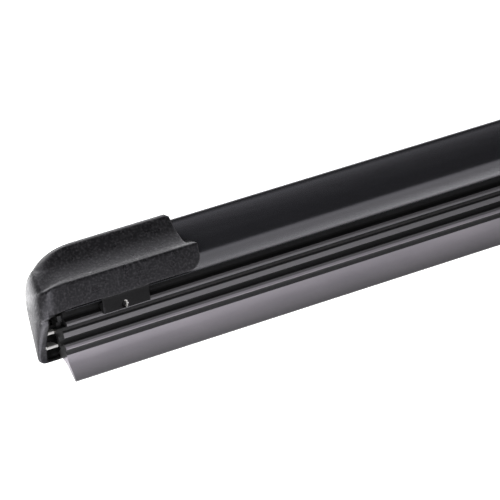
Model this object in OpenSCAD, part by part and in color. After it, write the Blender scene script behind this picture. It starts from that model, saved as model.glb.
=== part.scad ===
// Flat wiper blade: two sprung steel rails carry a wiping rubber, a two-piece spoiler, two end caps
// and a centre connector with a swinging adapter for a hook arm.
// The origin is the middle of the pivot pin, X runs along the blade and +Z points away from the glass.
// The hollow face of the spoiler, which meets the wind, looks towards -Y.
// Section heights are measured from the underside of the rails, called the seat plane.

/* [Blade] */
// Length of the wiping rubber, measured along it
blade_length = 400; // [360:5:460]
// Length of the bowed middle, measured along the rails
bowed_length = 170; // [140:5:190]
// Radius of the bow, measured to the seat plane
bow_radius = 1150; // [900:50:2500]
// Gap between pieces that slide or clip together
clip_gap = 0.05; // [0.03:0.01:0.1]

/* [Rails] */
// Width of one rail
rail_width = 2.3; // [2:0.1:2.6]
// Thickness of one rail
rail_thickness = 0.8; // [0.6:0.05:1]
// How far a rail runs out past the rubber at each end
rail_overhang = 1.3; // [0.8:0.1:1.6]

/* [Wiping rubber] */
// Thickness of the web between the two rails
web_thickness = 1.8; // [1.4:0.1:2.2]
// Width of the rib under the rails
rib_width = 7.2; // [6.4:0.1:8]
// Thickness of the rib under the rails
rib_thickness = 1.28; // [1:0.02:1.6]
// Width of the T head above the rails
head_width = 4.2; // [3.8:0.1:4.6]
// Thickness of the T head
head_thickness = 1.3; // [1:0.1:1.5]
// Height of the stem between the rails and the T head
stem_height = 0.85; // [0.7:0.05:1]
// Thickness of the neck that lets the lip flip over
neck_thickness = 0.9; // [0.7:0.05:1.1]
// Height of the neck above the point where the lip turns
neck_height = 0.9; // [0.7:0.05:1.2]
// Angle at which the lip leans towards the windward side
lip_lean = 32; // [24:1:34]
// Distance from the turning point to the shoulder
shoulder_drop = 1.7; // [1.5:0.05:2]
// Width of the shoulder
shoulder_width = 4.4; // [3.8:0.1:4.6]
// Thickness of the shoulder
shoulder_thickness = 1.35; // [1.1:0.05:1.6]
// Distance from the turning point to the wiping edge
lip_length = 8.9; // [8:0.1:9.4]
// Thickness of the wiping edge
edge_thickness = 0.6; // [0.5:0.05:0.8]

/* [Spoiler] */
// Width across the base of the spoiler
spoiler_base_width = 8.6; // [8.2:0.1:9]
// Width across the two lower edges of the spoiler
spoiler_edge_width = 10.1; // [9.7:0.1:10.3]
// Height of the lower edges above the seat plane
spoiler_edge_height = 4.1; // [3.9:0.05:4.3]
// Height of the fin tip above the seat plane
fin_height = 14.12; // [13.4:0.04:14.2]
// Radius of the fin tip
fin_tip_radius = 0.42; // [0.35:0.01:0.5]
// Radius of the hollow at the foot of the windward face
hollow_radius = 5.3; // [5:0.1:6]
// How deep the grooves above the base are cut in from each side
groove_depth = 1.25; // [1:0.05:1.3]

/* [End cap] */
// Length of the flange along the blade, from the rubber's end
flange_reach = 30.1; // [27:0.1:34]
// Length of the hood along the blade, from the rubber's end
hood_reach = 27.8; // [24:0.1:28]
// Distance from the rubber's end to the cap's end face
cap_overhang = 4.7; // [4.5:0.05:5.2]
// Thickness of the cap's walls
cap_wall = 1.15; // [1:0.05:1.2]
// Thickness of the end wall
end_wall = 1.75; // [1.4:0.05:2]
// Distance of the flange's outer face from the middle of the blade
flange_out = 6.3; // [6.2:0.05:6.6]
// Height of the flange's lower edge above the seat plane
flange_low = 4.6; // [4.5:0.05:5]
// Height of the ridge above the seat plane
ridge_height = 9.85; // [9.4:0.05:10.2]
// Height of the crest above the seat plane
crest_height = 15.5; // [15.3:0.05:16]
// Depth of the end wall below the seat plane
end_wall_drop = 5.8; // [5.2:0.1:6.2]
// Radius of the flange's lower corner
flange_corner = 2.7; // [1.5:0.1:3.5]
// Where the claw starts, from the rubber's end
claw_start = 8.4; // [7:0.1:10]
// Length of the claw
claw_length = 10; // [8:0.5:12]

/* [Connector] */
// Length of the connector base
base_length = 53; // [50:1:58]
// Width of the connector base
base_width = 15.6; // [15:0.1:17]
// Thickness of the two cheeks that hold the pivot pin
cheek_thickness = 1.7; // [1.4:0.1:2]
// Height of the base's floor above the seat plane
floor_height = 4.6; // [4.2:0.1:5]
// Height of the pivot pin above the seat plane
pin_height = 11.9; // [11.5:0.1:12.6]
// Radius of the pivot pin
pin_radius = 2.25; // [2:0.05:2.4]
// Radial running gap between the pin and the adapter
pin_gap = 0.06; // [0.03:0.01:0.09]
// Thickness of the pin's head and of its washer
pin_head_thickness = 0.9; // [0.7:0.1:1.2]
// Radius of the pin's head and of its washer
pin_head_radius = 3.6; // [3.2:0.1:4]

/* [Adapter] */
// Outer radius of the tube that the arm's hook bends round
hook_tube_radius = 3.5; // [3.3:0.1:3.8]
// Width of the slot for the hook
hook_slot = 9.6; // [9.3:0.1:10]
// Length of the adapter ahead of the pin
adapter_front = 21; // [18:0.5:22]
// Length of the adapter behind the pin
adapter_rear = 23; // [20:0.5:24]
// Height of the adapter's top above the pin
adapter_top = 7.4; // [6.8:0.1:8]
// Side gap between the adapter and each cheek
adapter_side_gap = 0.3; // [0.2:0.05:0.4]

/* [Hidden] */
$fn = 64;

half_length = blade_length / 2;
bowed_half = bowed_length / 2;
straight_length = half_length - bowed_half;
bow_angle = bowed_half / bow_radius * 180 / PI;
rail_inner = web_thickness / 2 + clip_gap;
rail_outer = rail_inner + rail_width;
rail_top = rail_thickness;
spoiler_seat = rail_top + clip_gap;
head_low = rail_top + stem_height;
head_top = head_low + head_thickness;
spoiler_setback = 0.8;
shared_angle = 0.02;
base_half = base_length / 2;
spoiler_inner_end = base_half + 0.3;
past = 1;

// Points from p to q along an arc: a positive radius bulges to the left of the way from p to q.
function bend(p, q, radius, steps) =
  let (
    chord = q - p,
    span = norm(chord),
    side = sign(radius),
    reach = sqrt(max(radius * radius - span * span / 4, 0)),
    normal = [-chord[1], chord[0]] / span,
    centre = (p + q) / 2 - normal * reach * side,
    start = atan2(p[1] - centre[1], p[0] - centre[0]),
    turn = 2 * asin(min(span / 2 / abs(radius), 1)) * -side
  )
  [for (i = [0:steps])
    let (at = start + turn * i / steps)
    centre + abs(radius) * [cos(at), sin(at)]];

function backwards(points) = [for (i = [len(points) - 1:-1:0]) points[i]];
function flipped(points) = [for (p = backwards(points)) [-p[0], p[1]]];

// A straight run of a section, from distance a to distance b along +X.
module run(points, a, b) {
  translate([a, 0, 0]) rotate([90, 0, 90]) linear_extrude(b - a) polygon(points);
}

// A bowed run of a section, between two angles of the bow.
module bowed_run(points, from_angle, to_angle) {
  translate([0, 0, -bow_radius]) rotate([90, 0, 0]) rotate([0, 0, 90 - to_angle])
    rotate_extrude(angle = to_angle - from_angle, $fn = 720)
      polygon([for (p = points) [bow_radius + p[1], -p[0]]]);
}

// Moves to the right end of the rubber, turned so that the children's +X points inwards.
module at_right_end() {
  translate([0, 0, -bow_radius]) rotate([0, bow_angle, 0])
    translate([straight_length, 0, bow_radius]) mirror([1, 0, 0]) children();
}

module from_pin() {
  translate([0, 0, -pin_height]) children();
}

// A section carried along the blade's right half, from an angle of the bow to past its end.
module half_length_run(points, from_angle, extra) {
  bowed_run(points, from_angle, bow_angle);
  at_right_end() run(points, -extra, straight_length);
}

// The same along the whole blade: the two halves share a thin slice in the middle.
module whole_length(points, extra) {
  union() {
    half_length_run(points, -shared_angle, extra);
    mirror([1, 0, 0]) half_length_run(points, -shared_angle, extra);
  }
}

// Place of a point of the leaning lip: out is towards its windward face, down is towards its edge.
function on_lip(out, down) = [
  -down * sin(lip_lean) - out * cos(lip_lean),
  turn_height - down * cos(lip_lean) + out * sin(lip_lean)
];
turn_height = -clip_gap - rib_thickness - neck_height;
shoulder_low = shoulder_drop + shoulder_thickness;
lip_root = 1.7;
lip_waist = 0.55;

function lip_side(side) = [
  on_lip(side * neck_thickness / 2, 0.35),
  on_lip(side * neck_thickness / 2, shoulder_drop - 0.15),
  on_lip(side * (shoulder_width / 2 - 0.2), shoulder_drop),
  on_lip(side * shoulder_width / 2, shoulder_drop + 0.2),
  on_lip(side * shoulder_width / 2, shoulder_low - 0.15),
  on_lip(side * (shoulder_width / 2 - 0.15), shoulder_low),
  on_lip(side * lip_root, shoulder_low + 0.15),
  for (t = [0.25:0.25:1])
    on_lip(side * (lip_waist + (lip_root - lip_waist) * pow(1 - t, 2)), shoulder_low + 0.15 + 2.4 * t),
  on_lip(side * edge_thickness / 2, lip_length)
];

function head_side() = [
  [-head_width / 2, head_top],
  [-head_width / 2, head_low],
  [-web_thickness / 2, head_low],
  [-web_thickness / 2, -clip_gap],
  [-rib_width / 2 + 0.25, -clip_gap],
  [-rib_width / 2, -clip_gap - 0.25],
  [-rib_width / 2, -clip_gap - rib_thickness + 0.15],
  [-rib_width / 2 + 0.15, -clip_gap - rib_thickness],
  [-neck_thickness / 2, -clip_gap - rib_thickness]
];

module wiping_rubber() {
  section = concat(head_side(), lip_side(1), backwards(lip_side(-1)), flipped(head_side()));
  color([0.36, 0.35, 0.37]) from_pin() whole_length(section, 0);
}

module rail(side) {
  section = [
    [side * rail_inner, 0],
    [side * rail_outer, 0],
    [side * rail_outer, rail_top],
    [side * rail_inner, rail_top]
  ];
  color([0.2, 0.2, 0.21]) from_pin() whole_length(section, rail_overhang);
}

fin_tip = [0.12, fin_height - fin_tip_radius];
fin_foot = [-0.5, 8.76];
fin_radius = 26;
back_radius = 22;
edge_round = 0.16;

// One side of the spoiler's base, from the channel up to the lower edge, grown outwards by grow.
function base_side(grow) =
  let (
    half = spoiler_base_width / 2 + grow,
    groove = spoiler_base_width / 2 - groove_depth + grow,
    edge = spoiler_edge_width / 2 + grow
  )
  [
    [-half + 0.15, spoiler_seat - grow],
    [-half, spoiler_seat + 0.15],
    [-half, spoiler_seat + 0.55],
    [-half + 0.35, spoiler_seat + 0.95],
    [-groove - 0.15, spoiler_seat + 1.4],
    [-groove, spoiler_seat + 1.75],
    [-groove, spoiler_seat + 2.1],
    [-groove - 0.25, spoiler_edge_height - 0.55 - grow],
    [-edge + 0.25, spoiler_edge_height - 0.15 - grow],
    [-edge, spoiler_edge_height]
  ];

// The fin above the lower edges, from the windward edge over the tip to the leeward edge.
function fin(grow) =
  let (
    edge = spoiler_edge_width / 2,
    lift = [0, grow],
    out = [grow, 0]
  )
  concat(
    bend([-edge + edge_round, spoiler_edge_height + edge_round] + lift, fin_foot - out, -hollow_radius, 8),
    bend(fin_foot - out, fin_tip + [-fin_tip_radius, 0] - out, -fin_radius, 5),
    bend(fin_tip + [-fin_tip_radius, 0] - out, fin_tip + [fin_tip_radius, 0] + out, fin_tip_radius + grow, 8),
    bend(fin_tip + [fin_tip_radius, 0] + out, [edge - 0.25, spoiler_edge_height + 0.3] + out, back_radius, 6)
  );

function spoiler_outline(grow) = concat(base_side(grow), fin(grow), flipped(base_side(grow)));

channel_half = head_width / 2 + clip_gap;
channel_mouth = web_thickness / 2 + 0.6;
channel = [
  [channel_mouth, spoiler_seat],
  [channel_mouth, head_low - clip_gap],
  [channel_half, head_low - clip_gap],
  [channel_half, head_top + clip_gap],
  [-channel_half, head_top + clip_gap],
  [-channel_half, head_low - clip_gap],
  [-channel_mouth, head_low - clip_gap],
  [-channel_mouth, spoiler_seat]
];
chamber = concat(
  [[0.75, 5.7], [3.2, 5]],
  bend([3.2, 5], [1.15, 10.4], -20, 4),
  [[0.75, 10.4]]
);

// The spoiler's own section: the outline with the channel for the T head let in from below.
function spoiler_section() = concat(spoiler_outline(0), channel);

spoiler_inner_angle = asin(spoiler_inner_end / bow_radius);

// Each half is hollow along the fin, which keeps it soft enough to follow the glass.
module spoiler() {
  color([0.13, 0.13, 0.14]) from_pin() difference() {
    half_length_run(spoiler_section(), spoiler_inner_angle, -spoiler_setback);
    half_length_run(chamber, spoiler_inner_angle - shared_angle, past);
  }
}

cap_back = flange_out - 0.15;
cap_middle = 0.3;
cove_radius = 9;
cove_low = [-flange_out + 0.9, ridge_height + 0.05];
cove_high = [-1.35, crest_height - 1.6];
bead_high = 0.45;
bead_bulge = 0.6;
crest_bulge = 2.2;
end_low = -end_wall_drop;
foot_half = 0.6;
skirt_bulge = 16.5;
skirt_out = flange_out - 0.95;
skirt_high = 2.5;
skin_end = flange_reach + past;
floor_thickness = 0.5;
cavity_half = 0.3;
end_inner = -cap_overhang + end_wall;
window_start = end_inner + 0.13;
window_end = -0.15;
window_low = end_low + floor_thickness + 0.05;
window_back = 1.9;
window_under_flange = 0.11;

// Windward half of the cap's outer section: narrow foot, skirt, flange, ridge bead, cove and crest.
outer_section = concat(
  [[cap_middle - foot_half, end_low]],
  bend([cap_middle - foot_half, end_low + 0.95], [-skirt_out + 0.05, skirt_high], -skirt_bulge, 5),
  [[-skirt_out, flange_low - 0.06], [-flange_out + 0.1, flange_low]],
  bend([-flange_out, flange_low + 0.1], [-flange_out, ridge_height - bead_high], 60, 3),
  bend(
    [-flange_out + 0.01, ridge_height - bead_high + 0.05], [-flange_out + 0.5, ridge_height],
    bead_bulge, 4
  ),
  bend(cove_low, cove_high, -cove_radius, 9),
  bend(cove_high + [0.05, 0.15], [cap_middle - 0.15, crest_height], crest_bulge, 4)
);

// The same for the inside, one wall further in.
inner_section = concat(
  [[cap_middle - cavity_half, end_low + floor_thickness]],
  [[cap_middle - cavity_half, end_low + floor_thickness + 0.6]],
  bend([cap_middle - 0.5, end_low + 1.9], [-skirt_out + cap_wall, skirt_high], -skirt_bulge, 3),
  [[-skirt_out + cap_wall, flange_low - 0.06], [-flange_out + cap_wall, flange_low]],
  [[-flange_out + cap_wall, ridge_height - cap_wall - 0.3]],
  bend(
    [-flange_out + cap_wall + 0.6, ridge_height - cap_wall], [-0.45, fin_tip[1] - 0.4],
    -cove_radius - cap_wall, 7
  ),
  [[-0.4, fin_height + 0.05], [0.1, fin_height + 0.1]]
);

function clamped(v) = max(0, min(1, v));

nose_power = 2.3;
nose_low = 4.5;
nose_reach = 12;
back_power = 1.35;
skirt_power = 0.75;
skirt_rise = 5.5;
end_sink = 1.95;
sink_start = 1.5;
sink_run = 6.4;
sink_power = 2.5;
cove_rise = 2.5;
cove_power = 1.2;
corner_share = 0.48;
crest_share = 0.8;
corner_square = 3.1;
corner_steps = 14;
blend = 0.6;

// Distance of the nose from the rubber's end: an upright end that rounds over to a level top.
function nose_at(height, start, reach, top) =
  let (up = clamped((height - nose_low) / (top - nose_low)))
  start + reach * (1 - pow(1 - pow(up, nose_power), 1 / nose_power));

// Leeward side, measured from the cap's middle: bulging skirt, step, flange and sloping back.
function back_at(height, low, top, width) =
  height < flange_low - 0.03
    ? let (foot = foot_half * 1.5)
      foot + (width - foot - 0.5) * pow(clamped((height - low) / skirt_rise), skirt_power)
    : let (up = clamped((height - flange_low) / (top - flange_low)))
      0.15 + (width - 0.15) * (1 - pow(up, back_power));

// How far the flange and the ridge have sunk at a distance from the rubber's end.
function sunk(x) = end_sink * pow(clamped((sink_start - x) / sink_run), sink_power);

// One level line of the skin: in along the windward side, round the end and back out to leeward.
function level_line(point, low, top, start, reach, width) =
  let (
    half = cap_middle - point[0],
    rise = pow(clamped((point[1] - ridge_height) / cove_rise), cove_power),
    sinks = point[1] > skirt_high ? 1 - rise : 0,
    nose = nose_at(point[1] - sinks * end_sink, start, reach, top),
    back = back_at(point[1], low, top, width),
    corner = half * corner_share * (1 - rise) + (crest_share * half + 0.6) * rise,
    back_corner = 1.3 * back + 0.4,
    power = 2 / (corner_square - 0.9 * rise),
    near = max(nose + corner + 0.3, sink_start),
    back_near = max(nose + back_corner + 0.3, sink_start),
    line = concat(
      [for (x = [skin_end, near, near * blend + (nose + corner) * (1 - blend)]) [x, -half]],
      [for (i = [0:corner_steps])
        let (t = 90 * i / corner_steps)
        [nose + corner * (1 - pow(sin(t), power)), -half * pow(cos(t), power)]],
      [for (i = [corner_steps - 1:-1:0])
        let (t = 90 * i / corner_steps)
        [nose + back_corner * (1 - pow(sin(t), 4 / 3)), back * pow(cos(t), 4 / 3)]],
      [for (x = [back_near * blend + (nose + back_corner) * (1 - blend), back_near, skin_end])
        [x, back]]
    )
  )
  [for (p = line) [p[0], cap_middle + p[1], point[1] - sinks * sunk(p[0])]];

// Solid between a stack of level lines, closed at the bottom, at the top and at the far end.
module skin(lines) {
  n = len(lines[0]);
  last = len(lines) - 1;
  high = last * n;
  half = floor(n / 2);
  polyhedron(
    points = [for (line = lines) for (p = line) p],
    faces = concat(
      [for (k = [0:n:high - n]) for (i = [0:n - 2]) [k + i, k + i + 1, k + n + i + 1, k + n + i]],
      [for (k = [0:n:high - n]) [k + n - 1, k, k + n, k + n + n - 1]],
      [for (i = [0:half - 2]) [i + 1, i, n - 1 - i, n - 2 - i]],
      [[half, half - 1, half + 1]],
      [for (i = [0:half - 2]) [high + i, high + i + 1, high + n - 2 - i, high + n - 1 - i]],
      [[high + half - 1, high + half, high + half + 1]]
    )
  );
}

module outer_skin() {
  skin([for (p = outer_section)
    level_line(p, end_low, crest_height, -cap_overhang, nose_reach, cap_back - cap_middle)]);
}

module inner_skin() {
  reach = nose_reach - end_wall + 0.3;
  width = cap_back - cap_wall - cap_middle;
  skin([for (p = inner_section)
    level_line(p, end_low + 1.2, fin_height + 0.4, end_inner, reach, width)]);
}

trim_low = flange_low + 0.04;
trim_high = ridge_height + 0.13;
trim_end = sink_start + 0.13;
foot_corner = [-cap_overhang + 1.5, end_low - 0.03];

// Side view of the hood and flange, which trims the skin's right end.
function cap_side() = concat(
  [[-cap_overhang - past, crest_height + past], [hood_reach - 0.6, crest_height + past]],
  [[hood_reach - 0.6, crest_height], [hood_reach, crest_height - 0.5]],
  [[hood_reach + 0.3, ridge_height + 0.3], [hood_reach + 0.6, trim_high]],
  bend([flange_reach - 0.7, trim_high], [flange_reach, ridge_height - 0.7], 0.7, 4),
  bend(
    [flange_reach, flange_low + flange_corner], [flange_reach - flange_corner, trim_low],
    flange_corner, 6
  ),
  [[trim_end, trim_low], [trim_end, end_low - past], [foot_corner[0], end_low - past]],
  bend(foot_corner, [-cap_overhang - 0.02, end_low + 1.3], 1.45, 5),
  [[-cap_overhang - past, end_low + 1.3]]
);

// Side view of the windward window, which opens the cap from the end wall past the rubber's end.
function window_side() = concat(
  [for (x = [window_start:0.6:sink_start]) [x, flange_low - window_under_flange - sunk(x)]],
  [[sink_start + past, flange_low - window_under_flange], [sink_start + past, end_low - past]],
  [[window_end, end_low - past], [window_end, window_low], [window_start, window_low]]
);

module side_cut(points, from, to) {
  translate([0, to, 0]) rotate([90, 0, 0]) linear_extrude(to - from) polygon(points);
}

seat_gap = 0.12;
pocket_inner = 1.2;

// A pocket in the leeward wall, from a place near the rubber's end past the trimmed skirt.
module pocket(start, low, high, out) {
  run([[pocket_inner, low], [out, low], [out, high], [pocket_inner, high]], start, trim_end + past);
}

// What the shell gives way to: the spoiler, the leeward rail's end and the rubber's rib.
module seated() {
  run(spoiler_outline(seat_gap), spoiler_setback - seat_gap, flange_reach + past);
  pocket(-rail_overhang - seat_gap, -seat_gap, rail_top + seat_gap, rail_outer + seat_gap);
  pocket(-seat_gap, -clip_gap - rib_thickness - seat_gap, seat_gap, rib_width / 2 + seat_gap);
}

module cap_shell() {
  difference() {
    intersection() {
      outer_skin();
      side_cut(cap_side(), -10, 10);
    }
    inner_skin();
    side_cut(window_side(), -10, window_back);
    seated();
  }
}

shelf_thickness = 0.85;

// A shelf that reaches from the end wall towards the end of the rubber.
module shelf(tip, half, low) {
  translate([-cap_overhang + end_wall - 0.3, -half, low])
    cube([tip + cap_overhang - end_wall + 0.3, 2 * half, shelf_thickness]);
}

// Claw that reaches round the spoiler's lower edge into its groove.
function claw_section() = [
  [-flange_out + 0.35, flange_low + 0.6],
  [-flange_out + 0.6, flange_low - 0.5],
  [-flange_out + 0.8, spoiler_seat + 0.5],
  [-spoiler_base_width / 2 - 0.1, spoiler_seat + 0.5],
  [-spoiler_base_width / 2 - 0.1, spoiler_seat + 0.7],
  [-spoiler_base_width / 2 + 0.15, spoiler_seat + 1.1],
  [-spoiler_base_width / 2 + groove_depth - 0.35, spoiler_seat + 1.6],
  [-spoiler_base_width / 2 + groove_depth - 0.3, spoiler_seat + 2.1],
  [-spoiler_base_width / 2 + 0.6, spoiler_edge_height - 0.85],
  [-spoiler_edge_width / 2 - 0.15, spoiler_edge_height - 0.4],
  [-spoiler_edge_width / 2 - 0.15, flange_low + 0.6]
];

claw_hole_radius = 0.65;

module claws() {
  difference() {
    union() {
      run(claw_section(), claw_start, claw_start + claw_length);
      mirror([0, 1, 0]) run(claw_section(), claw_start, claw_start + claw_length);
    }
    translate([claw_start + claw_length * 0.45, -flange_out, spoiler_seat + 1.35]) rotate([-90, 0, 0])
      cylinder(h = 1.6, r = claw_hole_radius);
  }
}

rib_plate = 1;
rib_low = spoiler_edge_height + 1.2;
rib_bite = [0.35, 0.25];

// Outline of a plate inside the shell, which bites into the wall all round.
function rib_section() = concat(
  [for (p = inner_section) if (p[1] > rib_low) p + [-rib_bite[0], rib_bite[1]]],
  [for (i = [6:-1:0])
    let (z = rib_low + (fin_height - rib_low) * i / 6)
    [cap_middle + back_at(z, end_low, fin_height + 0.4, cap_back - cap_wall - cap_middle), z] + rib_bite]
);

// Plates inside the shell that seat the cap on the spoiler.
module cap_ribs() {
  difference() {
    union() {
      for (at = [5, 13.5, 22]) run(rib_section(), at, at + rib_plate);
    }
    run(spoiler_outline(2 * clip_gap), 0, flange_reach);
  }
}

module end_cap() {
  color([0.11, 0.11, 0.12]) from_pin() at_right_end() union() {
    cap_shell();
    cap_ribs();
    claws();
    shelf(-rail_overhang - 0.25, 3, -0.05);
    shelf(-0.9, 1.9, -3.1);
  }
}

skirt_low = clip_gap;

// Section of the base: it straddles the T head, rests on the rails and holds their outer edges.
function base_section() =
  let (half = base_width / 2, inner = half - cheek_thickness)
  [
    [-half, skirt_low],
    [-rail_outer - clip_gap, skirt_low],
    [-rail_outer - clip_gap, rail_top],
    [-channel_mouth, rail_top],
    [-channel_mouth, head_low - clip_gap],
    [-channel_half, head_low - clip_gap],
    [-channel_half, head_top + clip_gap],
    [channel_half, head_top + clip_gap],
    [channel_half, head_low - clip_gap],
    [channel_mouth, head_low - clip_gap],
    [channel_mouth, rail_top],
    [rail_outer + clip_gap, rail_top],
    [rail_outer + clip_gap, skirt_low],
    [half, skirt_low],
    [half, pin_height + pin_head_radius + 0.9],
    [inner, pin_height + pin_head_radius + 0.9],
    [inner, floor_height],
    [-inner, floor_height],
    [-inner, pin_height + pin_head_radius + 0.9],
    [-half, pin_height + pin_head_radius + 0.9]
  ];

// Side view of the base: low ends and a raised middle that carries the pin.
function base_side_view() =
  let (top = pin_height + pin_head_radius + 0.9, shoulder = 12)
  concat(
    [[-base_half, -past], [-base_half, floor_height + 1.4]],
    bend([-base_half + 0.4, floor_height + 2.2], [-shoulder, pin_height - 0.6], -40, 5),
    bend([-shoulder + 1.5, pin_height + 1.2], [-3.5, top], 9, 6),
    bend([3.5, top], [shoulder - 1.5, pin_height + 1.2], 9, 6),
    bend([shoulder, pin_height - 0.6], [base_half - 0.4, floor_height + 2.2], -40, 5),
    [[base_half, floor_height + 1.4], [base_half, -past]]
  );

module connector_base() {
  base_angle = asin((base_half - 0.2) / bow_radius);
  color([0.12, 0.12, 0.13]) from_pin() difference() {
    intersection() {
      bowed_run(base_section(), -base_angle, base_angle);
      side_cut(base_side_view(), -base_width, base_width);
    }
    translate([0, -base_width, pin_height]) rotate([-90, 0, 0]) cylinder(h = 2 * base_width, r = pin_radius);
  }
}

module pivot_pin() {
  color([0.62, 0.62, 0.64]) rotate([90, 0, 0]) union() {
    cylinder(h = base_width + 2 * pin_head_thickness + 0.5, r = pin_radius, center = true);
    translate([0, 0, base_width / 2]) cylinder(h = pin_head_thickness, r = pin_head_radius);
  }
}

module pin_washer() {
  color([0.7, 0.7, 0.72]) rotate([-90, 0, 0]) difference() {
    translate([0, 0, base_width / 2]) cylinder(h = pin_head_thickness, r = pin_head_radius);
    cylinder(h = base_width, r = pin_radius);
  }
}

adapter_half = base_width / 2 - cheek_thickness - adapter_side_gap;
adapter_underside = 1.6;

// Side view of the adapter's walls about the pin.
function adapter_side_view() = concat(
  [[-adapter_rear, adapter_underside * -1]],
  bend([-adapter_rear, adapter_top - 3.5], [-adapter_rear + 4, adapter_top - 0.4], 4.6, 5),
  [[-6, adapter_top], [8, adapter_top]],
  bend([8, adapter_top], [adapter_front, 1.5], 22, 7),
  [[adapter_front, -adapter_underside]],
  [[6, -hook_tube_radius - 0.9], [-6, -hook_tube_radius - 0.9]]
);

// Side view of the space for the hook, which goes in from the front over the tube.
function hook_space() = concat(
  [[-14, adapter_top + past], [-14, 2.6]],
  bend([-9.5, 0.5], [-8, -8], -12, 4),
  [[8, -8]],
  bend([8.5, -3], [13.5, adapter_top - 3], -12, 4),
  [[13.5, adapter_top + past]]
);

module hook_adapter() {
  color([0.16, 0.16, 0.17]) difference() {
    union() {
      difference() {
        side_cut(adapter_side_view(), -adapter_half, adapter_half);
        side_cut(hook_space(), -hook_slot / 2, hook_slot / 2);
      }
      rotate([90, 0, 0]) cylinder(h = hook_slot + 1, r = hook_tube_radius, center = true);
    }
    rotate([90, 0, 0]) cylinder(h = base_width, r = pin_radius + pin_gap, center = true);
  }
}

wiping_rubber();
rail(-1);  // rail_windward
rail(1);  // rail_leeward
mirror([1, 0, 0]) spoiler();  // spoiler_left
spoiler();  // spoiler_right
mirror([1, 0, 0]) end_cap();  // end_cap_left
end_cap();  // end_cap_right
connector_base();
pivot_pin();
pin_washer();
hook_adapter();
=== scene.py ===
"""Looks of a flat wiper blade, seen at one end as in the photograph."""

import math

import bmesh
import bpy
from mathutils import Matrix, Vector


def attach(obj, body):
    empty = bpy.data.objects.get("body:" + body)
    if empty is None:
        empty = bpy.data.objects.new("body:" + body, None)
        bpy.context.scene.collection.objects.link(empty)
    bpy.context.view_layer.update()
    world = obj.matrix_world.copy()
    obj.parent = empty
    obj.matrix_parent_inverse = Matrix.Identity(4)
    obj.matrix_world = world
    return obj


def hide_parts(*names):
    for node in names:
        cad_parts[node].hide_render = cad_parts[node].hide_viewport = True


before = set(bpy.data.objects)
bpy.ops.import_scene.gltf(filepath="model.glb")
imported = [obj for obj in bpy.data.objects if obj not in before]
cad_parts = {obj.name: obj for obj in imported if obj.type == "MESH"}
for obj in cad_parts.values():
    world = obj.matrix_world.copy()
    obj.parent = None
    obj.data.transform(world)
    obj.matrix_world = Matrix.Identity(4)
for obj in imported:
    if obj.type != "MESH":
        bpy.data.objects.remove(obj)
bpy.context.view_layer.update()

# Sizes are in millimetres, and heights are measured from the rails' underside. Cutting solids reach
# PAST what they cut, and a face within TOUCH of an end counts as a face of that end.
MM = 0.001
PAST = 1
TOUCH = 0.01

# Path of the blade: a bowed middle and two straight ends.
BOW_RADIUS = 1150
BOWED_HALF = 85
HALF_LENGTH = 200
STRAIGHT_LENGTH = HALF_LENGTH - BOWED_HALF
BOW_ANGLE = BOWED_HALF / BOW_RADIUS
BOW_STEPS = 36
STATION_MARGIN = 0.5
CLIP_GAP = 0.05

# Connector.
BASE_HALF, BASE_GAP = 26.5, 0.3
PIN_HEIGHT = 11.9

# Rails.
RAIL_OVERHANG = 1.3
RAIL_INNER, RAIL_OUTER, RAIL_TOP = 0.95, 3.25, 0.8
RAIL_ROUND = 0.12
RAIL_END = HALF_LENGTH + RAIL_OVERHANG

# Rubber.
WEB_HALF, RIB_HALF, RIB_THICKNESS = 0.9, 3.6, 1.28
RIB_LOW = -CLIP_GAP - RIB_THICKNESS
HEAD_HALF, HEAD_LOW, HEAD_TOP = 2.1, 1.65, 2.95
NECK_HALF = 0.45
TURN_HEIGHT = RIB_LOW - 0.9
LIP_LEAN = math.radians(32)
SHOULDER_DROP, SHOULDER_THICKNESS, SHOULDER_HALF = 1.7, 1.35, 2.2
SHOULDER_LOW = SHOULDER_DROP + SHOULDER_THICKNESS
# SHOULDER_LINE: where the painted highlight on the shoulders' sides begins.
SHOULDER_LINE = SHOULDER_DROP + 0.75
LIP_LENGTH, LIP_ROOT, LIP_WAIST, EDGE_HALF = 8.9, 1.7, 0.55, 0.3
TAPER_FIRST, TAPER_STEPS, TAPER_STEP = 3, 12, 0.2
# The lip grows darker over this length above its wiping edge.
EDGE_DARKENING_LENGTH = 3.6
RUBBER_ROUND = 0.14

# Spoiler.
SEAT = RAIL_TOP + CLIP_GAP
SPOILER_HALF, EDGE_REACH, EDGE_HEIGHT = 4.3, 5.05, 4.1
FIN_HEIGHT, FIN_TIP_RADIUS = 14.12, 0.42
FIN_TIP = Vector((0.12, FIN_HEIGHT - FIN_TIP_RADIUS))
FIN_FOOT = Vector((-0.5, 8.76))
HOLLOW_LOW, HOLLOW_HIGH = Vector((-2.1, 5.93)), Vector((-0.85, 7.75))
HOLLOW_RADIUS, HOLLOW_CORNER, FIN_RADIUS, BACK_RADIUS = 18, 3.4, 26, 22
GROOVE_DEPTH = 1.25
SPOILER_SETBACK = 0.8
SPOILER_END = HALF_LENGTH - SPOILER_SETBACK
SPOILER_ROUND = 0.1
CHANNEL_HALF = HEAD_HALF + CLIP_GAP
CHANNEL_MOUTH = WEB_HALF + 0.6
CHAMBER_NEAR, CHAMBER_TOP_FAR, CHAMBER_FAR = 0.75, 1.15, 3.2
CHAMBER_LOW, CHAMBER_NEAR_LOW, CHAMBER_HIGH = 5, 5.7, 10.4
CHAMBER_RADIUS = 20

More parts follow.
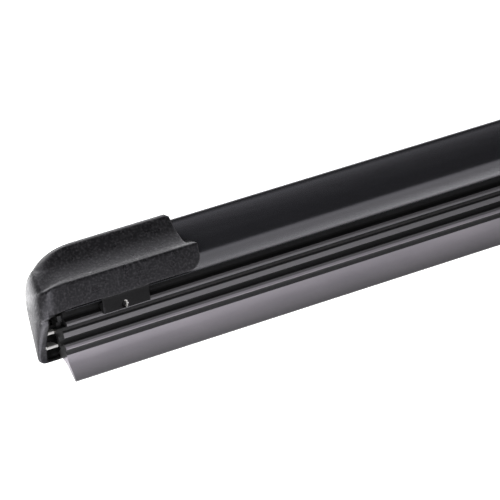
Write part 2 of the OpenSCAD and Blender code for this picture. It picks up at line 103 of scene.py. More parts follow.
# End cap.
FLANGE_REACH, HOOD_REACH, OVERHANG = 30.1, 27.8, 4.7
WALL, END_WALL = 1.15, 1.75
FLANGE_OUT, FLANGE_LOW, FLANGE_CORNER = 6.3, 4.6, 2.7
RIDGE, CREST, END_LOW = 9.85, 15.5, -5.8
BACK, MIDDLE, FOOT_HALF = FLANGE_OUT - 0.15, 0.3, 0.6
SKIRT_OUT, SKIRT_HIGH = FLANGE_OUT - 0.95, 2.5
SKIRT_RADIUS, FLANGE_RADIUS, RIDGE_ROUND = 16.5, 60, 0.6
COVE_RADIUS, INNER_COVE_RADIUS, CREST_ROUND = 9.5, 9, 1
END_INNER = -OVERHANG + END_WALL
END_ROUND = 1.45
CLAW_START, CLAW_LENGTH, CLAW_HOLE, HOLE_DEPTH = 8.4, 10, 0.65, 1.6
HOLE_PLACE = Vector((CLAW_START + CLAW_LENGTH * 0.45, SEAT + 1.35))
HOLE_STEPS = 24
WINDOW_START, WINDOW_END, WINDOW_BACK = END_INNER + 0.13, -0.15, 0.8
WINDOW_LOW = END_LOW + 0.55
WINDOW_STEPS = 20
CUTTER_HALF = 10
VOXEL = 0.2

# End cap's nose: how the end wall leans, and how it sinks at its top.
NOSE_POWER, NOSE_LOW, NOSE_REACH = 2.3, 4.5, 12
END_SINK, SINK_START, SINK_RUN, SINK_POWER = 1.95, 1.5, 6.4, 2.5

# End cap's leeward side, from its foot to the flange and on to the crest.
BACK_FOOT, BACK_INSET, BACK_RUN, BACK_POWER = FOOT_HALF * 1.5, 0.5, 5.5, 0.75
CREST_BACK, CREST_BACK_POWER = 0.15, 1.35

# End cap's corners, which change from the ridge up: their lengths along the blade, as shares
# of the widths that they turn through, and the powers that say how square they are.
RISE_RUN, RISE_POWER = 2.5, 1.2
CORNER_SHARE, CREST_CORNER_SHARE, CREST_CORNER_MORE = 0.56, 0.8, 0.6
CORNER_POWER, CORNER_POWER_FALL = 2.9, 0.7
BACK_CORNER_SHARE, BACK_CORNER_MORE, BACK_CORNER_POWER = 1.3, 0.4, 1.5
CORNER_GAP, CORNER_STEPS, FLANK_SHARE = 0.3, 34, 0.6

# Ribs inside the cap: how far each reaches in, its half width and its underside's height.
SHELVES = ((-RAIL_OVERHANG - 0.25, 3, 0.1), (-0.9, 1.9, -2.9))
SHELF_THICKNESS, SHELF_ROUND, SHELF_ROOT = 0.55, 0.15, 0.3

# Corners drawn with softened.
ROUND_STEPS = 3
NEARLY_STRAIGHT = math.radians(158)
SHARPEST_ANGLE = 0.05
LONGEST_CUT = 0.45


def clamped(value):
    return max(0, min(1, value))


def placed(side, x, y, z):
    """Place in the scene of a point in one end's own frame, where x runs inwards from the rubber's end."""
    run, height = STRAIGHT_LENGTH - x, z + BOW_RADIUS
    across = run * math.cos(BOW_ANGLE) + height * math.sin(BOW_ANGLE)
    up = height * math.cos(BOW_ANGLE) - run * math.sin(BOW_ANGLE) - BOW_RADIUS - PIN_HEIGHT
    return Vector((side * across, y, up)) * MM


def carried(along, y, z):
    """Place in the scene of a section's point at a signed distance along the blade."""
    if abs(along) > BOWED_HALF:
        return placed(math.copysign(1, along), HALF_LENGTH - abs(along), y, z)
    angle, height = along / BOW_RADIUS, z + BOW_RADIUS
    return Vector((height * math.sin(angle), y, height * math.cos(angle) - BOW_RADIUS - PIN_HEIGHT)) * MM


def section_place(point):
    """Place in the section of a point of the scene, and its distance along the blade."""
    across, y, up = abs(point[0]) / MM, point[1] / MM, point[2] / MM + BOW_RADIUS + PIN_HEIGHT
    run = across * math.cos(BOW_ANGLE) - up * math.sin(BOW_ANGLE)
    if run > 0:
        height = across * math.sin(BOW_ANGLE) + up * math.cos(BOW_ANGLE) - BOW_RADIUS
        return Vector((y, height)), BOWED_HALF + run
    return Vector((y, math.hypot(across, up) - BOW_RADIUS)), BOW_RADIUS * math.atan2(across, up)


# Outlines.

def bend(start, end, radius, steps):
    """Points from start to end along an arc that bulges to the left where the radius is positive."""
    start, end = Vector(start), Vector(end)
    chord = end - start
    span, side = chord.length, math.copysign(1, radius)
    reach = math.sqrt(max(radius * radius - span * span / 4, 0))
    centre = (start + end) / 2 - Vector((-chord.y, chord.x)) / span * reach * side
    first = math.atan2(start.y - centre.y, start.x - centre.x)
    turn = -2 * math.asin(min(span / 2 / abs(radius), 1)) * side
    angles = [first + turn * i / steps for i in range(steps + 1)]
    return [centre + abs(radius) * Vector((math.cos(angle), math.sin(angle))) for angle in angles]


def flipped(points):
    """The same outline on the other side of the blade."""
    return [Vector((-point[0], point[1])) for point in reversed(points)]


def softened(points, radius):
    """The same loop with its sharp corners rounded."""
    result = []
    points = [Vector(point) for point in points]
    for i, corner in enumerate(points):
        back, ahead = points[i - 1] - corner, points[(i + 1) % len(points)] - corner
        long_back, long_ahead = back.length, ahead.length
        if min(long_back, long_ahead) < 1e-6:
            continue
        back, ahead = back / long_back, ahead / long_ahead
        angle = math.acos(max(-1, min(1, back.dot(ahead))))
        if angle > NEARLY_STRAIGHT:
            result.append(corner)
            continue
        cut = radius / math.tan(max(angle, SHARPEST_ANGLE) / 2)
        cut = min(cut, LONGEST_CUT * long_back, LONGEST_CUT * long_ahead)
        start, end = corner + back * cut, corner + ahead * cut
        for step in range(ROUND_STEPS + 1):
            t = step / ROUND_STEPS
            result.append((1 - t) ** 2 * start + 2 * t * (1 - t) * corner + t * t * end)
    return result


# Meshes.

def mesh_from(build, name):
    """Ends a bmesh with its faces turned outwards."""
    bmesh.ops.recalc_face_normals(build, faces=build.faces)
    mesh = bpy.data.meshes.new(name)
    build.to_mesh(mesh)
    build.free()
    return mesh


def triangulated_from(build, name):
    """Ends a bmesh whose end faces have many corners."""
    bmesh.ops.triangulate(build, faces=[face for face in build.faces if len(face.verts) > 4])
    return mesh_from(build, name)


def join_rows(build, rows):
    """Faces all round between each loop of corners and the next."""
    for near, far in zip(rows, rows[1:]):
        for i in range(len(near)):
            build.faces.new((near[i - 1], near[i], far[i], far[i - 1]))


def stations(low, high):
    """Distances along the blade at which a section is placed."""
    inner = [-BOWED_HALF + 2 * BOWED_HALF * i / BOW_STEPS for i in range(BOW_STEPS + 1)]
    return [low] + [at for at in inner if low + STATION_MARGIN < at < high - STATION_MARGIN] + [high]


def swept(name, loops, low, high):
    """Closed mesh of a section, the outer loop and its holes, carried along the blade."""
    build = bmesh.new()
    places = stations(low, high)
    rims = []
    for loop in loops:
        rows = [[build.verts.new(carried(along, *point) / MM) for point in loop] for along in places]
        join_rows(build, rows)
        rims.append((rows[0], rows[-1]))
    for rows in zip(*rims):
        rim = [build.edges.get((row[i - 1], row[i])) for row in rows for i in range(len(row))]
        bmesh.ops.triangle_fill(build, use_beauty=True, use_dissolve=False, edges=rim)
    for vertex in build.verts:
        vertex.co *= MM
    return mesh_from(build, name)


def prism(points, place):
    """Closed solid between two copies of a loop; place gives the corner at each end."""
    build = bmesh.new()
    near = [build.verts.new(place(point, 0)) for point in points]
    far = [build.verts.new(place(point, 1)) for point in points]
    build.faces.new(near)
    build.faces.new(list(reversed(far)))
    join_rows(build, [near, far])
    return triangulated_from(build, "prism")


def along_y(low, high):
    return lambda point, end: (point[0], high if end else low, point[1])


def along_x(low, high):
    return lambda point, end: (high if end else low, point[0], point[1])


def skin(lines):
    """Closed solid through a stack of level lines."""
    build = bmesh.new()
    rows = [[build.verts.new(point) for point in line] for line in lines]
    join_rows(build, rows)
    build.faces.new(list(reversed(rows[0])))
    build.faces.new(rows[-1])
    return triangulated_from(build, "skin")


def scratch_object(mesh):
    piece = bpy.data.objects.new("scratch", mesh)
    bpy.context.scene.collection.objects.link(piece)
    return piece


def result_of(piece):
    """Mesh of an object after its modifiers."""
    return bpy.data.meshes.new_from_object(piece.evaluated_get(bpy.context.evaluated_depsgraph_get()))


def combined(base, steps):
    """Mesh of a base solid after a row of boolean steps."""
    target = scratch_object(base)
    others = []
    for operation, mesh in steps:
        other = scratch_object(mesh)
        modifier = target.modifiers.new("cut", "BOOLEAN")
        modifier.solver = "EXACT"
        modifier.operation = operation
        modifier.object = other
        others.append(other)
    result = result_of(target)
    for piece in [target, *others]:
        bpy.data.objects.remove(piece)
    return result


def add_object(name, mesh, body, materials, like=None, sharp=35, choose=None):
    """Adds a piece; choose gives the number of a face's material from its middle."""
    mesh.shade_smooth()
    mesh.set_sharp_from_angle(angle=math.radians(sharp))
    mesh.materials.clear()
    for material in materials:
        mesh.materials.append(material)
    if choose:
        for face in mesh.polygons:
            face.material_index = choose(*section_place(face.center))
    # Each corner stores how much of the lip's own colour it keeps.
    coat = mesh.attributes.new("coat", "FLOAT", "POINT")
    coat.data.foreach_set("value", [lip_tone_at(section_place(vertex.co)[0]) for vertex in mesh.vertices])
    piece = bpy.data.objects.new(name, mesh)
    bpy.context.scene.collection.objects.link(piece)
    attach(piece, body)
    if like:
        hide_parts(like)


# Rubber.

def on_lip(out, down):
    """Place in the section of a point out from the lip's middle plane and down from where it turns."""
    return Vector((-down * math.sin(LIP_LEAN) - out * math.cos(LIP_LEAN),
                   TURN_HEIGHT - down * math.cos(LIP_LEAN) + out * math.sin(LIP_LEAN)))


def down_lip(place):
    """How far down the lip a place in the section lies."""
    return -place[0] * math.sin(LIP_LEAN) - (place[1] - TURN_HEIGHT) * math.cos(LIP_LEAN)


def lip_tone_at(place):
    """How much of the lip's own colour a place keeps: it grows darker towards the wiping edge."""
    return clamped((LIP_LENGTH - down_lip(place)) / EDGE_DARKENING_LENGTH)


def taper_side(side, step):
    """A point of the hollow side of the lip, from its root to its waist."""
    out = LIP_WAIST + (LIP_ROOT - LIP_WAIST) * (1 - step / TAPER_STEPS) ** 2
    return on_lip(side * out, SHOULDER_LOW + 0.15 + TAPER_STEP * step)


def lip_side(side):
    """One side of the neck, the shoulder with its undercut and the lip, downwards."""
    return [
        on_lip(side * NECK_HALF, 0.35),
        on_lip(side * NECK_HALF, SHOULDER_DROP - 0.15),
        on_lip(side * (SHOULDER_HALF - 0.2), SHOULDER_DROP),
        on_lip(side * SHOULDER_HALF, SHOULDER_DROP + 0.2),
        on_lip(side * SHOULDER_HALF, SHOULDER_LINE),
        on_lip(side * SHOULDER_HALF, SHOULDER_LOW - 0.15),
        on_lip(side * (SHOULDER_HALF - 0.15), SHOULDER_LOW),
        on_lip(side * (LIP_ROOT - 0.35), SHOULDER_LOW + 0.03),
        on_lip(side * (LIP_ROOT - 0.4), SHOULDER_LOW + 0.25),
        *[taper_side(side, step) for step in range(TAPER_FIRST, TAPER_STEPS + 1)],
        on_lip(side * EDGE_HALF, LIP_LENGTH),
    ]


def rubber_loop():
    head = [
        (-HEAD_HALF, HEAD_TOP), (-HEAD_HALF, HEAD_LOW), (-WEB_HALF, HEAD_LOW), (-WEB_HALF, -CLIP_GAP),
        (-RIB_HALF + 0.25, -CLIP_GAP), (-RIB_HALF, -CLIP_GAP - 0.25), (-RIB_HALF, RIB_LOW + 0.15),
        (-RIB_HALF + 0.15, RIB_LOW), (-NECK_HALF, RIB_LOW),
    ]
    loop = head + lip_side(1) + list(reversed(lip_side(-1))) + flipped(head)
    return softened(loop, RUBBER_ROUND)


def rubber_part(place, along):
    """The rubber's zones: 0 the ribs, 1 the lip's graphite and a painted highlight on the shoulders' lower
    band, 2 painted shade on the head, ends, creases and shoulders' tops.
    """
    down = down_lip(place)
    at_end = along > HALF_LENGTH - TOUCH
    # Painted shade on the head within the spoiler and on the ends within the cap.
    if place[1] > -0.3 or at_end and down < SHOULDER_LOW + 0.3:
        return 2
    # Graphite on the lip; on the shoulders' lower band the same grey is a painted highlight.
    if down > SHOULDER_LOW + 0.55 or SHOULDER_LINE < down < SHOULDER_LOW - 0.06:
        return 1
    # Painted shade under the ribs, in the crease below the shoulders and on the shoulders' tops; the
    # shoulders' upper sides keep the ribs' rubber.
    below_rib = place[1] < RIB_LOW + 0.005
    shoulder_side = SHOULDER_DROP + 0.4 < down < SHOULDER_LINE
    return 2 if below_rib and not shoulder_side else 0


# Rails.

def rail_loop(side):
    corners = [(RAIL_INNER, 0), (RAIL_OUTER, 0), (RAIL_OUTER, RAIL_TOP), (RAIL_INNER, RAIL_TOP)]
    return softened([(side * across, height) for across, height in corners], RAIL_ROUND)


def rail_part(_, along):
    """The rail's zones: 0 the coated strip, 1 its cut ends."""
    return 1 if along > RAIL_END - TOUCH else 0


# Spoiler.

def spoiler_outline():
    """The spoiler's foot with its groove, the fin, and the foot's other side."""
    half, groove = SPOILER_HALF, SPOILER_HALF - GROOVE_DEPTH
    foot = [
        (-half + 0.15, SEAT), (-half, SEAT + 0.15), (-half, SEAT + 0.55), (-half + 0.35, SEAT + 0.95),
        (-groove - 0.15, SEAT + 1.4), (-groove, SEAT + 1.75), (-groove, SEAT + 2.1),
        (-groove - 0.25, EDGE_HEIGHT - 0.55), (-EDGE_REACH + 0.25, EDGE_HEIGHT - 0.15),
        (-EDGE_REACH, EDGE_HEIGHT),
    ]
    tip = Vector((FIN_TIP_RADIUS, 0))
    fin = (
        bend((-EDGE_REACH + 0.16, EDGE_HEIGHT + 0.16), HOLLOW_LOW, -2 * HOLLOW_RADIUS, 8)[:-1]
        + bend(HOLLOW_LOW, HOLLOW_HIGH, -HOLLOW_CORNER, 12)[:-1]
        + bend(HOLLOW_HIGH, FIN_FOOT, -HOLLOW_RADIUS, 8)[:-1]
        + bend(FIN_FOOT, FIN_TIP - tip, -FIN_RADIUS, 10)[:-1]
        + bend(FIN_TIP - tip, FIN_TIP + tip, FIN_TIP_RADIUS, 12)[:-1]
        + bend(FIN_TIP + tip, (EDGE_REACH - 0.25, EDGE_HEIGHT + 0.3), BACK_RADIUS, 18)
    )
    return foot + fin + flipped(foot)


def spoiler_loop():
    """The spoiler's outline with the channel that takes the rubber's head."""
    low, high = HEAD_LOW - CLIP_GAP, HEAD_TOP + CLIP_GAP
    side = [(CHANNEL_MOUTH, SEAT), (CHANNEL_MOUTH, low), (CHANNEL_HALF, low), (CHANNEL_HALF, high)]
    return softened(spoiler_outline() + side + flipped(side), SPOILER_ROUND)


def chamber_loop():
    """The hollow inside the spoiler's leeward half."""
    low, high = (CHAMBER_FAR, CHAMBER_LOW), (CHAMBER_TOP_FAR, CHAMBER_HIGH)
    return [Vector((CHAMBER_NEAR, CHAMBER_NEAR_LOW)), Vector(low), *bend(low, high, -CHAMBER_RADIUS, 8)[1:],
            Vector((CHAMBER_NEAR, CHAMBER_HIGH))]


def spoiler_part(place, along):
    """The spoiler's zones: 0 the rubber, 1 painted shade on its ends and grooves, 2 a painted highlight on the
    lower edge of its foot.
    """
    # Painted shade on the spoiler's ends and in its grooves.
    if along > SPOILER_END - TOUCH or SEAT + 1 < place[1] < EDGE_HEIGHT - 0.2:
        return 1
    # A painted highlight: the lower edge of the foot takes the ribs' lighter rubber.
    return 2 if SEAT + 0.1 < place[1] < SEAT + 1 else 0


# End cap: a stack of level lines, as in the CAD source but finer.

def nose_at(height, start, reach, top):
    """Where the end wall stands at a height: it leans in towards the crest."""
    up = clamped((height - NOSE_LOW) / (top - NOSE_LOW))
    return start + reach * (1 - (1 - up ** NOSE_POWER) ** (1 / NOSE_POWER))


def back_at(height, low, top, width):
    """How far the leeward side stands from the cap's middle at a height."""
    if height < FLANGE_LOW - 0.03:
        rise = clamped((height - low) / BACK_RUN) ** BACK_POWER
        return BACK_FOOT + (width - BACK_FOOT - BACK_INSET) * rise
    rise = clamped((height - FLANGE_LOW) / (top - FLANGE_LOW)) ** CREST_BACK_POWER
    return CREST_BACK + (width - CREST_BACK) * (1 - rise)


def sunk(x):
    """How far a level line sinks towards the end."""
    return END_SINK * clamped((SINK_START - x) / SINK_RUN) ** SINK_POWER


def level_line(point, low, top, start, reach, width):
    """The cap's outline seen from above, at one point of its windward section."""
    half = MIDDLE - point[0]
    rise = clamped((point[1] - RIDGE) / RISE_RUN) ** RISE_POWER
    sinks = 1 - rise if point[1] > SKIRT_HIGH else 0
    nose = nose_at(point[1] - sinks * END_SINK, start, reach, top)
    back = back_at(point[1], low, top, width)
    corner = half * CORNER_SHARE * (1 - rise) + (CREST_CORNER_SHARE * half + CREST_CORNER_MORE) * rise
    power = 2 / (CORNER_POWER - CORNER_POWER_FALL * rise)
    back_corner = BACK_CORNER_SHARE * back + BACK_CORNER_MORE
    back_power = 2 / BACK_CORNER_POWER
    near = max(nose + corner + CORNER_GAP, SINK_START)
    back_near = max(nose + back_corner + CORNER_GAP, SINK_START)
    flank = near * FLANK_SHARE + (nose + corner) * (1 - FLANK_SHARE)
    back_flank = back_near * FLANK_SHARE + (nose + back_corner) * (1 - FLANK_SHARE)
    end = FLANGE_REACH + PAST
    turns = [math.pi / 2 * i / CORNER_STEPS for i in range(CORNER_STEPS + 1)]
    line = (
        [(x, -half) for x in (end, near, flank)]
        + [(nose + corner * (1 - math.sin(t) ** power), -half * math.cos(t) ** power) for t in turns]
        + [(nose + back_corner * (1 - math.sin(t) ** back_power), back * math.cos(t) ** back_power)
           for t in reversed(turns[:-1])]
        + [(x, back) for x in (back_flank, back_near, end)]
    )
    return [Vector((x, MIDDLE + y, point[1] - sinks * sunk(x))) for x, y in line]


def outer_lines():
    """The cap's outside, from its foot over the flange, ridge and cove to the crest."""
    foot = MIDDLE - FOOT_HALF
    section = (
        [Vector((foot, END_LOW))]
        + bend((foot, END_LOW + 0.95), (-SKIRT_OUT + 0.05, SKIRT_HIGH), -SKIRT_RADIUS, 14)
        + [Vector((-SKIRT_OUT, FLANGE_LOW - 0.06)), Vector((-FLANGE_OUT + 0.1, FLANGE_LOW))]
        + bend((-FLANGE_OUT, FLANGE_LOW + 0.1), (-FLANGE_OUT, RIDGE - 0.45), FLANGE_RADIUS, 8)
        + bend((-FLANGE_OUT + 0.01, RIDGE - 0.4), (-FLANGE_OUT + 0.5, RIDGE), RIDGE_ROUND, 8)
        + bend((-FLANGE_OUT + 0.9, RIDGE + 0.05), (-0.9, CREST - 0.85), -COVE_RADIUS, 28)
        + bend((-0.84, CREST - 0.72), (MIDDLE - 0.15, CREST), CREST_ROUND, 10)
    )
    return [level_line(point, END_LOW, CREST, -OVERHANG, NOSE_REACH, BACK - MIDDLE) for point in section]


def inner_lines():
    """The cap's inside, a wall's thickness within its outside."""
    floor, low, high = END_LOW + 0.5, END_LOW + 1.2, FIN_HEIGHT + 0.4
    cove_radius = INNER_COVE_RADIUS + WALL
    section = (
        [Vector((0, floor)), Vector((0, floor + 0.6))]
        + bend((MIDDLE - 0.5, END_LOW + 1.9), (-SKIRT_OUT + WALL, SKIRT_HIGH), -SKIRT_RADIUS, 6)
        + [Vector((-SKIRT_OUT + WALL, FLANGE_LOW - 0.06)), Vector((-FLANGE_OUT + WALL, FLANGE_LOW))]
        + [Vector((-FLANGE_OUT + WALL, RIDGE - WALL - 0.3))]
        + bend((-FLANGE_OUT + WALL + 0.6, RIDGE - WALL), (-0.45, FIN_TIP[1] - 0.4), -cove_radius, 14)
        + [Vector((-0.4, FIN_HEIGHT + 0.05)), Vector((0.1, FIN_HEIGHT + 0.1))]
    )
    reach = NOSE_REACH - END_WALL + 0.3
    return [level_line(point, low, high, END_INNER, reach, BACK - WALL - MIDDLE) for point in section]


def cap_side():
    """The cap's outline seen from the windward side: hood, flange, end wall and its foot."""
    low, high, end = FLANGE_LOW + 0.04, RIDGE + 0.13, SINK_START + 0.13
    return (
        [(-OVERHANG - PAST, CREST + PAST), (HOOD_REACH - 0.6, CREST + PAST), (HOOD_REACH - 0.6, CREST),
         (HOOD_REACH, CREST - 0.5), (HOOD_REACH + 0.3, RIDGE + 0.3), (HOOD_REACH + 0.6, high)]
        + bend((FLANGE_REACH - 0.7, high), (FLANGE_REACH, RIDGE - 0.7), 0.7, 8)
        + bend((FLANGE_REACH, FLANGE_LOW + FLANGE_CORNER), (FLANGE_REACH - FLANGE_CORNER, low),
               FLANGE_CORNER, 14)
        + [(end, low), (end, END_LOW - PAST), (-OVERHANG + 1.5, END_LOW - PAST)]
        + bend((-OVERHANG + 1.5, END_LOW - 0.03), (-OVERHANG - 0.02, END_LOW + 1.3), END_ROUND, 10)
        + [(-OVERHANG - PAST, END_LOW + 1.3)]
    )


def window_side():
    """The open window below the flange, whose top sinks with the end wall."""
    top = FLANGE_LOW - 0.11
    run = SINK_START - WINDOW_START
    xs = [WINDOW_START + run * i / WINDOW_STEPS for i in range(WINDOW_STEPS + 1)]
    return (
        [(x, top - sunk(x)) for x in xs]
        + [(SINK_START + PAST, top), (SINK_START + PAST, END_LOW - PAST), (WINDOW_END, END_LOW - PAST),
           (WINDOW_END, WINDOW_LOW), (WINDOW_START, WINDOW_LOW)]
    )


def claw_loop():
    """Section of the claw that hooks into the spoiler's groove."""
    foot, groove = -SPOILER_HALF, -SPOILER_HALF + GROOVE_DEPTH
    return [
        (-FLANGE_OUT + 0.35, FLANGE_LOW + 0.6), (-FLANGE_OUT + 0.6, FLANGE_LOW - 0.5),
        (-FLANGE_OUT + 0.8, SEAT + 0.5), (foot - 0.1, SEAT + 0.5), (foot - 0.1, SEAT + 0.7),
        (foot + 0.15, SEAT + 1.1), (groove - 0.35, SEAT + 1.6), (groove - 0.3, SEAT + 2.1),
        (foot + 0.6, EDGE_HEIGHT - 0.85), (-EDGE_REACH - 0.15, EDGE_HEIGHT - 0.4),
        (-EDGE_REACH - 0.15, FLANGE_LOW + 0.6),
    ]


def hole_loop():
    turns = [math.tau * i / HOLE_STEPS for i in range(HOLE_STEPS)]
    return [(HOLE_PLACE[0] + CLAW_HOLE * math.cos(t), HOLE_PLACE[1] + CLAW_HOLE * math.sin(t)) for t in turns]


def cap_shell():
    """The hollow cap with its window, all edges still sharp."""
    return combined(skin(outer_lines()), [
        ("INTERSECT", prism(cap_side(), along_y(-CUTTER_HALF, CUTTER_HALF))),
        ("DIFFERENCE", skin(inner_lines())),
        ("DIFFERENCE", prism(window_side(), along_y(-CUTTER_HALF, WINDOW_BACK))),
    ])


def cap_claws():
    """The windward claw with its hole, and the plain leeward one."""
    span = along_x(CLAW_START, CLAW_START + CLAW_LENGTH)
    hole = prism(hole_loop(), along_y(-FLANGE_OUT - 0.5, -FLANGE_OUT + HOLE_DEPTH))
    return [combined(prism(claw_loop(), span), [("DIFFERENCE", hole)]), prism(flipped(claw_loop()), span)]


def cap_mesh():
    """The whole cap in millimetres, remeshed so that every edge is a little round."""
    build = bmesh.new()
    for part in [cap_shell(), *cap_claws()]:
        build.from_mesh(part)
    joined = scratch_object(mesh_from(build, "joined"))
    remesh = joined.modifiers.new("round", "REMESH")
    remesh.mode = "VOXEL"
    remesh.voxel_size = VOXEL
    remesh.use_smooth_shade = True
    smooth = joined.modifiers.new("smooth", "SMOOTH")
    smooth.factor = 0.5
    smooth.iterations = 2
    result = result_of(joined)
    bpy.data.objects.remove(joined)
    return result


def shelf_mesh(reach, half, low):
    """A rib inside the cap, from the end wall inwards."""
    high = low + SHELF_THICKNESS
    loop = softened([(-half, low), (half, low), (half, high), (-half, high)], SHELF_ROUND)
    return prism(loop, along_x(END_INNER - SHELF_ROOT, reach))


def placed_copy(mesh, side, name):
    """A copy of a mesh in one end's own frame, put in its place in the scene."""
    copy = mesh.copy()
    copy.name = name
    for vertex in copy.vertices:
        vertex.co = placed(side, *vertex.co)
    if side > 0:
        copy.flip_normals()
    return copy


def cap_part(place, along):
    """The cap's zones: 0 the grained outside, 1 painted shade on the inside and claws, 2 a painted glint on
    the lit side of the claw's hole.
    """
    if place[1] > FLANGE_LOW - 0.15:
        return 0
    from_hole = Vector((HALF_LENGTH - along, place[1])) - HOLE_PLACE
    if from_hole.length < CLAW_HOLE + 0.1 and place[0] < 0:
        # A painted glint on the lit side of the claw's hole; painted shade on the rest of it.
        return 2 if from_hole.x > 0.25 and place[0] < -FLANGE_OUT + 1.3 else 1
    # Painted shade on the cap's inside and on the claws below the flange.
    skin_at = MIDDLE + back_at(place[1], END_LOW, CREST, BACK - MIDDLE)
    inside = along < HALF_LENGTH - END_INNER + 0.15 and place[0] < skin_at - 0.45
    return 1 if inside or along < HALF_LENGTH - 5 else 0


# Camera, placed in the left end's own frame.
VIEW_AZIMUTH = math.radians(25)
VIEW_ELEVATION = math.radians(12.6)
VIEW_ROLL = math.radians(11.52)
CAMERA_PLACE = Vector((-227.88, -582.3, 147.2))
FOCAL_PIXELS = 3347
FRAME_PIXELS = 500
SENSOR_WIDTH = 36


def make_camera():
    azimuth, elevation, roll = VIEW_AZIMUTH, VIEW_ELEVATION, VIEW_ROLL
    level = Vector((math.cos(azimuth), -math.sin(azimuth), 0))
    upright = Vector((math.sin(azimuth) * math.sin(elevation), math.cos(azimuth) * math.sin(elevation),
                      math.cos(elevation)))
    back = -Vector((math.sin(azimuth) * math.cos(elevation), math.cos(azimuth) * math.cos(elevation),
                    -math.sin(elevation)))
    right = level * math.cos(roll) - upright * math.sin(roll)
    up = level * math.sin(roll) + upright * math.cos(roll)
    turn = Matrix((right, up, back)).transposed().to_4x4()
    tilt = Matrix.Rotation(-BOW_ANGLE, 4, "Y")
    data = bpy.data.cameras.new("camera")
    data.sensor_width = SENSOR_WIDTH
    data.lens = FOCAL_PIXELS / FRAME_PIXELS * SENSOR_WIDTH
    data.clip_end = 50
    camera = bpy.data.objects.new("camera", data)
    bpy.context.scene.collection.objects.link(camera)
    camera.matrix_world = Matrix.Translation(placed(-1, *CAMERA_PLACE)) @ tilt @ turn
    bpy.context.scene.camera = camera


# World, floor, lamps and flags, whose places and sizes are in metres.
WHITE = (1, 1, 1, 1)
WORLD_GLOW = 0.25
FLOOR_Z, FLOOR_REACH = -0.11, 4


def seen_by_eye(nodes, links):
    """One for camera, glossy and transmission rays."""
    path = nodes.new("ShaderNodeLightPath")
    total = path.outputs["Is Camera Ray"]
    for kind in ("Is Glossy Ray", "Is Transmission Ray"):
        either = nodes.new("ShaderNodeMath")
        either.operation = "MAXIMUM"
        links.new(total, either.inputs[0])
        links.new(path.outputs[kind], either.inputs[1])
        total = either.outputs[0]
    return total


def make_world():
    """A dim world that the eye sees as white."""
    world = bpy.data.worlds.new("world")
    bpy.context.scene.world = world
    world.use_nodes = True
    nodes, links = world.node_tree.nodes, world.node_tree.links
    dim = nodes["Background"]
    dim.inputs["Color"].default_value = WHITE
    dim.inputs["Strength"].default_value = WORLD_GLOW
    seen = nodes.new("ShaderNodeBackground")
    seen.inputs["Color"].default_value = WHITE
    seen.inputs["Strength"].default_value = 1
    mix = nodes.new("ShaderNodeMixShader")
    links.new(seen_by_eye(nodes, links), mix.inputs["Fac"])
    links.new(dim.outputs[0], mix.inputs[1])
    links.new(seen.outputs[0], mix.inputs[2])
    links.new(mix.outputs[0], nodes["World Output"].inputs["Surface"])


def area_light(name, place, target, width, height, power):
    data = bpy.data.lights.new(name, "AREA")
    data.shape = "RECTANGLE"
    data.size, data.size_y = width, height
    data.energy = power
    lamp = bpy.data.objects.new(name, data)
    bpy.context.scene.collection.objects.link(lamp)
    lamp.location = place
    lamp.rotation_euler = (Vector(target) - Vector(place)).to_track_quat("-Z", "Y").to_euler()
    lamp.visible_camera = False
    return lamp


def simple_material(name, color, roughness):
    material = bpy.data.materials.new(name)
    material.use_nodes = True
    shader = material.node_tree.nodes["Principled BSDF"]
    shader.inputs["Base Color"].default_value = (*color, 1)
    shader.inputs["Roughness"].default_value = roughness
    return material


def staged_plane(name, corners, material):
    build = bmesh.new()
    build.faces.new([build.verts.new(corner) for corner in corners])
    mesh = bpy.data.meshes.new(name)
    build.to_mesh(mesh)
    build.free()
    mesh.materials.append(material)
    plane = bpy.data.objects.new(name, mesh)
    bpy.context.scene.collection.objects.link(plane)
    return plane


def make_floor():
    """A pale floor that the eye sees as white."""
    material = simple_material("floor", (0.5, 0.5, 0.5), 0.7)
    nodes, links = material.node_tree.nodes, material.node_tree.links
    glow = nodes.new("ShaderNodeEmission")
    glow.inputs["Color"].default_value = WHITE
    links.new(seen_by_eye(nodes, links), glow.inputs["Strength"])
    add = nodes.new("ShaderNodeAddShader")
    links.new(nodes["Principled BSDF"].outputs[0], add.inputs[0])
    links.new(glow.outputs[0], add.inputs[1])
    links.new(add.outputs[0], nodes["Material Output"].inputs["Surface"])
    corners = [(-FLOOR_REACH, -FLOOR_REACH), (FLOOR_REACH, -FLOOR_REACH), (FLOOR_REACH, FLOOR_REACH),
               (-FLOOR_REACH, FLOOR_REACH)]
    staged_plane("floor", [(x, y, FLOOR_Z) for x, y in corners], material)


def make_flags():
    """Black flags, unseen by the camera, that keep the white floor and world out of the reflections."""
    black = simple_material("flag", (0.01, 0.01, 0.01), 0.9)
    low, high = FLOOR_Z + 0.001, 0.95
    front, back, left, right = -0.45, 0.42, -0.5, 0.9
    front_flag = [(-0.12, front, low), (right, front, low), (right, front, high), (-0.12, front, high)]
    top_flag = [(-0.6, front, high), (right, front, high), (right, 0.5, high), (-0.6, 0.5, high)]
    left_flag = [(left, -0.4, low), (left, 0.16, low), (left, 0.16, 0.3), (left, -0.4, 0.3)]
    back_flag = [(-0.15, back, low), (0.6, back, low), (0.6, back, 0.15), (-0.15, back, 0.15)]
    for number, corners in enumerate([front_flag, top_flag, left_flag, back_flag]):
        staged_plane(f"flag_{number}", corners, black).visible_camera = False


